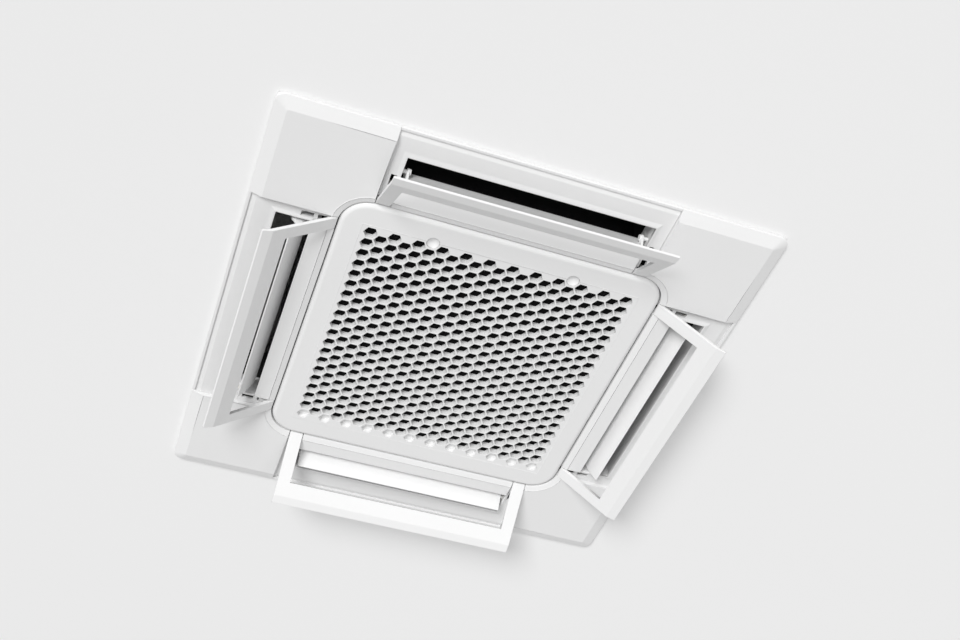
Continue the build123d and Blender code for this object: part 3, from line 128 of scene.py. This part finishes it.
def feed(tree, slot, value):
    """Links a wire to a socket, or sets the socket's own value."""
    if isinstance(value, Wire):
        tree.links.new(value.socket, slot)
    elif slot.type == "RGBA":
        slot.default_value = (*value, 1.0)
    else:
        slot.default_value = value


class Nodes:
    """A node tree under construction, empty at first."""

    def __init__(self, tree):
        self.tree = tree
        tree.nodes.clear()

    def node(self, kind, settings, values, out=0):
        """Any node: its settings come first, then the values or wires of its sockets."""
        made = self.tree.nodes.new(kind)
        for key, value in settings.items():
            setattr(made, key, value)
        for key, value in values.items():
            feed(self.tree, made.inputs[key], value)
        return Wire(self.tree, made.outputs[out])

    def end(self, kind, surface):
        """The output node of the tree."""
        feed(self.tree, self.tree.nodes.new(kind).inputs["Surface"], surface)


class Finish(Nodes):
    """One material under construction, on Object coordinates."""

    def __init__(self, name, roughness, metallic=0.0, specular=0.5):
        self.material = bpy.data.materials.new(name)
        self.material.use_nodes = True
        super().__init__(self.material.node_tree)
        self.shader = self.tree.nodes.new("ShaderNodeBsdfPrincipled")
        self.surface = Wire(self.tree, self.shader.outputs[0])
        self.set("Roughness", roughness)
        self.set("Metallic", metallic)
        self.set("Specular IOR Level", specular)
        self.place = self.node("ShaderNodeTexCoord", {}, {}, "Object")

    def set(self, socket, value):
        """A number, or a wire, on the shader itself."""
        feed(self.tree, self.shader.inputs[socket], value)

    def stretched(self, scale):
        """Object coordinates scaled along each axis."""
        return self.node("ShaderNodeMapping", {}, {"Vector": self.place, "Scale": scale})

    def noise(self, scale, detail=2.0, vector=None, out="Fac"):
        return self.node("ShaderNodeTexNoise", {},
                         {"Vector": vector or self.place, "Scale": scale, "Detail": detail}, out)

    def cells(self, scale, feature="F1", vector=None, out="Distance"):
        return self.node("ShaderNodeTexVoronoi", {"feature": feature},
                         {"Vector": vector or self.place, "Scale": scale}, out)

    def axis(self, name):
        return self.node("ShaderNodeSeparateXYZ", {}, {"Vector": self.place}, name)

    def ridges(self, along, pitch):
        """A wave from 0 up to 1 and down again in each pitch."""
        half = pitch / 2
        return self.node("ShaderNodeMath", {"operation": "PINGPONG"}, {0: along, 1: half}) / half

    def mottle(self, mask, colour, low, high):
        """Base Color: low times the colour where the mask is 0, high times it where it is 1."""
        ends = {6: shade(colour, low), 7: shade(colour, high)}    # the node's two colours
        mixed = self.node("ShaderNodeMix", {"data_type": "RGBA"}, {0: mask, **ends}, 2)
        self.set("Base Color", mixed)

    def bump(self, height, strength, distance):
        bumped = self.node("ShaderNodeBump", {}, {"Height": height, "Strength": strength,
                                                  "Distance": distance})
        self.set("Normal", bumped)

    def done(self, surface=None):
        """The material, with its shader or another surface at its output."""
        self.end("ShaderNodeOutputMaterial", surface or self.surface)
        return self.material


def shade(colour, factor):
    """A colour made lighter or darker, as plain numbers."""
    return tuple(min(1.0, part * factor) for part in colour)


# ---- Finishes ------------------------------------------------------------------------------


def moulded_white(name, colour, roughness, grain):
    """Satin moulded plastic: a very fine spark-eroded grain and a faint unevenness of tone."""
    made = Finish(name, roughness, specular=0.45)
    made.mottle(made.noise(7.0, detail=3.0), colour, low=0.978, high=1.012)
    made.set("Roughness", roughness - 0.05 + 0.1 * made.noise(60.0))
    made.bump(made.noise(2600.0) + 0.4 * made.noise(500.0), strength=grain, distance=0.00012)
    return made.done()


def dull_black(name, colour, roughness):
    """Dark moulding or foam, a little dusty."""
    made = Finish(name, roughness, specular=0.3)
    made.mottle(made.noise(55.0, detail=4.0) ** 2.0, colour, low=1.0, high=1.9)
    made.bump(made.noise(900.0), strength=0.3, distance=0.0003)
    return made.done()


def bead_foam(name, colour):
    """Expanded polystyrene, with its pressed beads and painted shade in the grooves between them.
    """
    made = Finish(name, roughness=0.75, specular=0.25)
    rim = made.node("ShaderNodeMapRange", {},
                    {"Value": made.cells(230.0, "DISTANCE_TO_EDGE"), "From Max": 0.12})
    # painted shade: the colour darkens to 0.86 of itself in the grooves at the beads' rims
    made.mottle(rim, colour, low=0.86, high=1.0)
    made.bump(rim, strength=0.45, distance=0.0006)
    return made.done()


def galvanised(name, colour):
    """Zinc-coated sheet: crystals of slightly different grey and gloss."""
    made = Finish(name, roughness=0.42, metallic=0.9)
    drift = made.noise(40.0, out="Color")
    bent = made.node("ShaderNodeVectorMath", {"operation": "MULTIPLY_ADD"},
                     {0: drift, 1: (0.012, 0.012, 0.012), 2: made.place})
    crystal = made.node("ShaderNodeSeparateColor", {},
                        {"Color": made.cells(85.0, vector=bent, out="Color")}, "Red")
    smear = made.noise(9.0, detail=4.0)
    made.mottle(0.55 * crystal + 0.45 * smear, colour, low=0.86, high=1.13)
    made.set("Roughness", 0.33 + 0.17 * crystal + 0.06 * smear)
    made.bump(made.noise(14.0), strength=0.12, distance=0.0015)
    return made.done()


def drawn_metal(name, colour, roughness, fineness=(900.0, 900.0, 40.0)):
    """Turned or drawn metal, with marks that are finest along the axes of high fineness."""
    made = Finish(name, roughness, metallic=1.0)
    marks = made.noise(1.0, detail=3.0, vector=made.stretched(fineness))
    blot = made.noise(38.0, detail=3.0)
    made.mottle(0.6 * blot + 0.4 * marks, colour, low=0.82, high=1.1)
    made.set("Roughness", roughness - 0.08 + 0.2 * marks)
    made.bump(marks, strength=0.15, distance=0.0002)
    return made.done()


def finned(name, colour, pitch):
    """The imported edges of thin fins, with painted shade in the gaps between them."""
    made = Finish(name, roughness=0.4, metallic=0.85)
    ridge = made.ridges(made.axis("X") + made.axis("Y"), pitch)
    # painted shade: the gaps between the fins go down to 0.16 of the metal's colour
    made.mottle(ridge ** 1.5, colour, low=0.16, high=1.02)
    made.set("Roughness", 0.32 + 0.2 * made.noise(30.0))
    made.bump(ridge, strength=0.8, distance=0.0006)
    return made.done()


def woven_net(name, colour, pitch):
    """Fine crossed threads of the filter, lighter where they cross, with painted shade in the
    openings between them.
    """
    made = Finish(name, roughness=0.9, specular=0.1)
    warp = made.ridges(made.axis("X"), pitch)
    weft = made.ridges(made.axis("Y"), pitch)
    threads = warp ** 3.0 + weft ** 3.0
    # painted shade: the openings between threads go down to 0.25 of the colour; the lighter threads
    # are the weave's own pattern
    made.mottle(threads * 0.5, colour, low=0.25, high=1.6)
    made.bump(threads, strength=0.5, distance=0.0003)
    return made.done()


def lacquered_can(name, colour):
    """Dull plated or painted can of a motor."""
    made = Finish(name, roughness=0.45, metallic=0.35)
    made.mottle(made.noise(24.0, detail=3.0), colour, low=0.85, high=1.15)
    made.bump(made.noise(420.0), strength=0.2, distance=0.0004)
    return made.done()


def soft_rubber(name, colour):
    """Rubber or foam tape, with a pale bloom in places."""
    made = Finish(name, roughness=0.7, specular=0.25)
    made.mottle(made.noise(70.0, detail=4.0), colour, low=0.8, high=1.6)
    made.bump(made.noise(1100.0), strength=0.25, distance=0.0003)
    return made.done()


def printed_board(name, colour):
    """Green board with copper runs under its lacquer."""
    made = Finish(name, roughness=0.35)
    runs = made.node("ShaderNodeMapRange", {}, {"Value": made.cells(190.0, "DISTANCE_TO_EDGE"),
                                                "From Min": 0.03, "From Max": 0.06})
    made.mottle(runs, colour, low=1.9, high=1.0)
    made.bump(runs, strength=0.2, distance=0.0002)
    return made.done()


def recipes(looks):
    """For each of the record's material slots, its maker and what the maker is given."""
    return {
        "white_plastic": (moulded_white, dict(colour=tuple(looks.white), grain=0.1,
                                              roughness=looks.white_roughness)),
        "louvre_plastic": (moulded_white, dict(colour=tuple(looks.louvre), grain=0.05,
                                               roughness=0.34)),
        "inner_plastic": (moulded_white, dict(colour=(0.74, 0.74, 0.73), grain=0.2,
                                              roughness=0.5)),
        "gear_plastic": (moulded_white, dict(colour=(0.78, 0.77, 0.72), grain=0.1,
                                             roughness=0.42)),
        "white_float": (moulded_white, dict(colour=(0.8, 0.8, 0.79), grain=0.4, roughness=0.6)),
        "black_plastic": (dull_black, dict(colour=(0.018, 0.018, 0.019), roughness=0.5)),
        "black_foam": (dull_black, dict(colour=(0.009, 0.009, 0.0095), roughness=0.85)),
        "filter_mesh": (woven_net, dict(colour=(0.005, 0.005, 0.0054), pitch=0.0012)),
        "foam": (bead_foam, dict(colour=(0.7, 0.7, 0.69))),
        "seal_foam": (soft_rubber, dict(colour=(0.02, 0.02, 0.021))),
        "rubber": (soft_rubber, dict(colour=(0.015, 0.015, 0.015))),
        "galvanised": (galvanised, dict(colour=tuple(looks.zinc))),
        "screw_steel": (drawn_metal, dict(colour=(0.55, 0.55, 0.56), roughness=0.32,
                                          fineness=(500.0, 500.0, 500.0))),
        "pin_steel": (drawn_metal, dict(colour=(0.6, 0.6, 0.61), roughness=0.25,
                                        fineness=(400.0, 400.0, 400.0))),
        "motor_case": (lacquered_can, dict(colour=(0.16, 0.165, 0.17))),
        "aluminium_fins": (finned, dict(colour=(0.66, 0.68, 0.7), pitch=0.0036)),
        "copper": (drawn_metal, dict(colour=tuple(looks.copper), roughness=0.28)),
        "brass": (drawn_metal, dict(colour=(0.72, 0.53, 0.25), roughness=0.3,
                                    fineness=(60.0, 700.0, 700.0))),
        "circuit_board": (printed_board, dict(colour=(0.015, 0.11, 0.04))),
    }


FINISHES = {}


def finish_for(slot):
    """The finish of one of the record's material slots, made once."""
    if slot not in FINISHES:
        maker, given = recipes(bpy.context.scene.cassette_finish)[slot]
        FINISHES[slot] = maker(slot, **given)
    return FINISHES[slot]


# ---- CAD nodes -----------------------------------------------------------------------------


def dress(node):
    """Gives a CAD node its finish."""
    materials = NODES[node].data.materials
    materials.clear()
    materials.append(finish_for(SLOT_OF[node]))


def refined(node, edge):
    """A copy of a CAD node, welded, with a small radius on its edges, that stands for it."""
    built = bmesh.new()
    built.from_mesh(NODES[node].data)
    bmesh.ops.remove_doubles(built, verts=built.verts, dist=WELD)
    built.normal_update()
    surface = BVHTree.FromBMesh(built)
    sharp = [line for line in built.edges
             if line.is_manifold and line.is_convex and line.calc_face_angle(0) > CREASE]
    bmesh.ops.bevel(built, geom=sharp, offset=edge, offset_type="OFFSET", segments=ROUNDING,
                    profile=0.5, affect="EDGES", material=-1, loop_slide=True)
    for vert in built.verts:      # a bevel can throw a thorn where slim faces meet
        near, _, _, distance = surface.find_nearest(vert.co)
        if distance > THORN * edge:
            vert.co = near
    for face in built.faces:
        face.smooth = True
    piece = linked(f"{node}_moulded", built, finish_for(SLOT_OF[node]))
    piece.modifiers.new("flats", "WEIGHTED_NORMAL").weight = FLAT_WEIGHT
    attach(piece, BODY_OF[node])
    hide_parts(node)


def linked(name, built, material):
    """An object in the scene from a finished bmesh, which is freed."""
    mesh = bpy.data.meshes.new(name)
    built.to_mesh(mesh)
    built.free()
    mesh.materials.append(material)
    return placed(name, mesh)


def placed(name, data):
    """An object in the scene with a mesh, lamp or camera."""
    made = bpy.data.objects.new(name, data)
    bpy.context.scene.collection.objects.link(made)
    return made


# ---- Settings ------------------------------------------------------------------------------


class CassetteFinish(bpy.types.PropertyGroup):
    """Colours and gloss of the finishes."""

    white: FloatVectorProperty(name="White", description="Colour of the panel and grille",
                               subtype="COLOR", size=3, default=(0.80, 0.80, 0.80), min=0, max=1)
    louvre: FloatVectorProperty(name="Louvre white", description="Colour of the louvres",
                                subtype="COLOR", size=3, default=(0.84, 0.84, 0.84), min=0, max=1)
    zinc: FloatVectorProperty(name="Zinc", description="Colour of the galvanised sheet",
                              subtype="COLOR", size=3, default=(0.58, 0.59, 0.60), min=0, max=1)
    copper: FloatVectorProperty(name="Copper", description="Colour of the refrigerant pipes",
                                subtype="COLOR", size=3, default=(0.72, 0.36, 0.22), min=0, max=1)
    white_roughness: FloatProperty(name="White roughness", description="Roughness of the panel",
                                   default=0.42, min=0, max=1)


class CassetteEdges(bpy.types.PropertyGroup):
    """Radii on moulded and pressed edges."""

    panel: FloatProperty(name="Panel edges", description="Radius on the panel's moulded edges",
                         default=0.0004, unit="LENGTH", min=0)
    grille: FloatProperty(name="Grille edges", description="Radius on the honeycomb's edges",
                          default=0.0003, unit="LENGTH", min=0)
    blade: FloatProperty(name="Blade edges", description="Radius on louvres and draft frames",
                         default=0.0005, unit="LENGTH", min=0)
    sheet: FloatProperty(name="Sheet edges", description="Radius on pressed sheet metal",
                         default=0.0004, unit="LENGTH", min=0)


class CassetteStage(bpy.types.PropertyGroup):
    """The studio: a plain ceiling, soft lamps and even light all round."""

    ceiling: FloatVectorProperty(name="Ceiling", description="Colour of the plain ceiling",
                                 subtype="COLOR", size=3, default=(0.88, 0.88, 0.88), min=0, max=1)
    backdrop: FloatVectorProperty(name="Backdrop", description="Plain colour past the ceiling",
                                  subtype="COLOR", size=3, default=(0.78, 0.78, 0.78), min=0, max=1)
    opening: FloatProperty(name="Ceiling opening", description="Side of the hole behind the panel",
                           default=0.617, unit="LENGTH", min=0)
    key: FloatProperty(name="Key lamp", description="Strength of the wide, far lamp",
                       default=2.4, min=0)
    fill: FloatProperty(name="Fill lamp", description="Power of the wide lamp under the panel",
                        default=22.0, unit="POWER", min=0)
    rim: FloatProperty(name="Top lamp", description="Power of the lamp over the casing",
                       default=60.0, unit="POWER", min=0)
    world: FloatProperty(name="World", description="Strength of the even surrounding light",
                         default=0.47, min=0)


# ---- Operators -----------------------------------------------------------------------------


class DressPanel(bpy.types.Operator):
    """Finish the square panel and its corner lids"""

    bl_idname = "cassette.dress_panel"
    bl_label = "Panel and lids"

    def execute(self, context):
        edges = context.scene.cassette_edges
        refined("panel_frame", edges.panel)
        for corner in CORNERS:
            refined(f"corner_lid_{corner}", edges.panel)
        return {"FINISHED"}


class DressGrille(bpy.types.Operator):
    """Finish the honeycomb grille, its filter, its press buttons and its hinge pins"""

    bl_idname = "cassette.dress_grille"
    bl_label = "Grille"

    def execute(self, context):
        edges = context.scene.cassette_edges
        refined("intake_grille", edges.grille)
        dress("filter_net")
        for side in ("left", "right"):
            refined(f"latch_button_{side}", edges.grille)
        dress("grille_hinge_pins")
        return {"FINISHED"}


class DressLouvres(bpy.types.Operator):
    """Finish the louvres with their motors and bushes"""

    bl_idname = "cassette.dress_louvres"
    bl_label = "Louvres"

    def execute(self, context):
        edges = context.scene.cassette_edges
        for side in SIDES:
            refined(f"louvre_{side}", edges.blade)
        refined("louvre_motors", edges.panel)
        dress("louvre_bushes")
        return {"FINISHED"}


class DressFrames(bpy.types.Operator):
    """Finish the drop-down draft frames and their gear drives"""

    bl_idname = "cassette.dress_frames"
    bl_label = "Draft frames"

    def execute(self, context):
        edges = context.scene.cassette_edges
        for side in SIDES:
            refined(f"draft_frame_{side}", edges.blade)
            dress(f"frame_pinion_{side}")
        refined("frame_motors", edges.panel)
        dress("frame_hinge_pins")
        return {"FINISHED"}


class DressCasing(bpy.types.Operator):
    """Finish the casing with its liner, hangers and fasteners, and the pipe ends"""

    bl_idname = "cassette.dress_casing"
    bl_label = "Casing"

    def execute(self, context):
        edges = context.scene.cassette_edges
        refined("side_casing", edges.sheet)
        refined("top_plate", edges.sheet)
        for corner in CORNERS:
            refined(f"hanger_bracket_{corner}", edges.sheet)
        for node in ("casing_screws", "panel_bolts", "flare_nuts"):
            refined(node, edges.sheet)
        for node in ("foam_liner", "gas_pipe", "liquid_pipe", "drain_socket"):
            dress(node)
        return {"FINISHED"}


class DressInside(bpy.types.Operator):
    """Finish what the casing holds: fan, coil, drain and controls"""

    bl_idname = "cassette.dress_inside"
    bl_label = "Inside"

    def execute(self, context):
        for node in ("drain_pan", "duct_seals", "bell_mouth", "fan_hub", "fan_blades",
                     "fan_shroud", "motor_shaft", "fan_nut", "fan_motor", "motor_mounts",
                     "motor_bracket", "coil_fins", "coil_end_plates", "coil_bends",
                     "drain_pump", "float_guide", "drain_float", "control_box",
                     "control_box_cover", "control_board"):
            dress(node)
        return {"FINISHED"}


def ceiling_paint(colour):
    """Matt paint. The camera sees through the back of it, so the casing shows from above."""
    made = Finish("plain_ceiling", roughness=0.9, specular=0.1)
    made.mottle(made.noise(1.3), colour, low=0.99, high=1.01)
    behind = made.node("ShaderNodeNewGeometry", {}, {}, "Backfacing")
    seen = made.node("ShaderNodeLightPath", {}, {}, "Is Camera Ray")
    clear = made.node("ShaderNodeBsdfTransparent", {}, {})
    mixed = made.node("ShaderNodeMixShader", {}, {0: behind * seen, 1: made.surface, 2: clear})
    return made.done(mixed)


def hang_ceiling(colour, opening):
    """A square sheet that faces down, with a square hole in its middle."""
    built = bmesh.new()
    bmesh.ops.create_grid(built, x_segments=1, y_segments=1, size=CEILING_SIDE / 2)
    bmesh.ops.inset_individual(built, faces=built.faces, thickness=(CEILING_SIDE - opening) / 2,
                               use_even_offset=True)
    middle = min(built.faces, key=lambda face: face.calc_area())
    bmesh.ops.delete(built, geom=[middle], context="FACES")
    bmesh.ops.reverse_faces(built, faces=built.faces)
    bmesh.ops.translate(built, verts=built.verts, vec=(0, 0, CEILING_LIFT))
    made = linked("plain_ceiling", built, ceiling_paint(colour))


def aimed_lamp(name, kind, place, target, energy):
    """A white lamp that shines towards a point. The caller gives it its width."""
    data = bpy.data.lights.new(name, kind)
    data.energy = energy
    lamp = placed(name, data)
    lamp.location = place
    aim = Vector(target) - Vector(place)
    lamp.rotation_euler = aim.to_track_quat("-Z", "Y").to_euler()
    return data


def square_lamp(name, place, target, side, power):
    """A square area lamp."""
    data = aimed_lamp(name, "AREA", place, target, power)
    data.shape = "SQUARE"
    data.size = side


def surround(strength, backdrop):
    """Even white light all round, and a plain backdrop that the camera and gloss see instead."""
    world = bpy.data.worlds.new("even_light")
    bpy.context.scene.world = world
    world.use_nodes = True
    made = Nodes(world.node_tree)
    light = made.node("ShaderNodeBackground", {},
                      {"Color": (1.0, 1.0, 1.0), "Strength": strength})
    plain = made.node("ShaderNodeBackground", {}, {"Color": backdrop})
    camera, glossy, through = (made.node("ShaderNodeLightPath", {}, {}, f"Is {kind} Ray")
                               for kind in ("Camera", "Glossy", "Transmission"))
    chosen = made.node("ShaderNodeMixShader", {},
                       {0: camera + glossy + through, 1: light, 2: plain})
    made.end("ShaderNodeOutputWorld", chosen)


def set_camera():
    """The photograph's camera."""
    data = bpy.data.cameras.new("camera")
    data.sensor_width = CAMERA_SENSOR
    data.lens = CAMERA_LENS
    data.clip_start = CAMERA_NEAREST
    data.clip_end = CAMERA_FARTHEST
    camera = placed("camera", data)
    right, down, ahead = Vector(CAMERA_RIGHT), Vector(CAMERA_DOWN), Vector(CAMERA_AHEAD)
    turn = Matrix((right, -down, -ahead)).transposed().to_4x4()
    camera.matrix_world = Matrix.Translation(CAMERA_AT) @ turn
    bpy.context.scene.camera = camera


class BuildStage(bpy.types.Operator):
    """Build the studio: ceiling, lamps, world and the photograph's camera"""

    bl_idname = "cassette.build_stage"
    bl_label = "Stage"

    def execute(self, context):
        look = context.scene.cassette_stage
        hang_ceiling(tuple(look.ceiling), look.opening)
        aimed_lamp("key_lamp", "SUN", KEY_FROM, MIDDLE, look.key).angle = KEY_SPREAD
        square_lamp("fill_lamp", FILL_AT, MIDDLE, FILL_SIDE, look.fill)
        square_lamp("top_lamp", TOP_AT, TOP_AIM, TOP_SIDE, look.rim)
        surround(look.world, tuple(look.backdrop))
        set_camera()
        context.scene.view_settings.view_transform = "Standard"
        return {"FINISHED"}


class CassettePanel(bpy.types.Panel):
    """The builder's buttons and settings."""

    bl_idname = "VIEW3D_PT_cassette"
    bl_label = "Ceiling cassette"
    bl_space_type = "VIEW_3D"
    bl_region_type = "UI"
    bl_category = "Cassette"

    def draw(self, context):
        for step in STEPS:
            self.layout.operator(step.bl_idname)
        for name in SETTINGS:
            group = getattr(context.scene, name)
            box = self.layout.box()
            for setting in group.__annotations__:
                box.prop(group, setting)


SETTINGS = {"cassette_finish": CassetteFinish, "cassette_edges": CassetteEdges,
            "cassette_stage": CassetteStage}
STEPS = (DressPanel, DressGrille, DressLouvres, DressFrames, DressCasing, DressInside, BuildStage)


def register():
    for group in SETTINGS.values():
        bpy.utils.register_class(group)
    for step in (*STEPS, CassettePanel):
        bpy.utils.register_class(step)
    for name, group in SETTINGS.items():
        setattr(bpy.types.Scene, name, PointerProperty(type=group))


def unregister():
    for name in SETTINGS:
        delattr(bpy.types.Scene, name)
    for made in (CassettePanel, *reversed(STEPS), *SETTINGS.values()):
        bpy.utils.unregister_class(made)


def main():
    register()
    for step in STEPS:
        group, name = step.bl_idname.split(".")
        getattr(getattr(bpy.ops, group), name)()


if __name__ == "__main__":
    main()
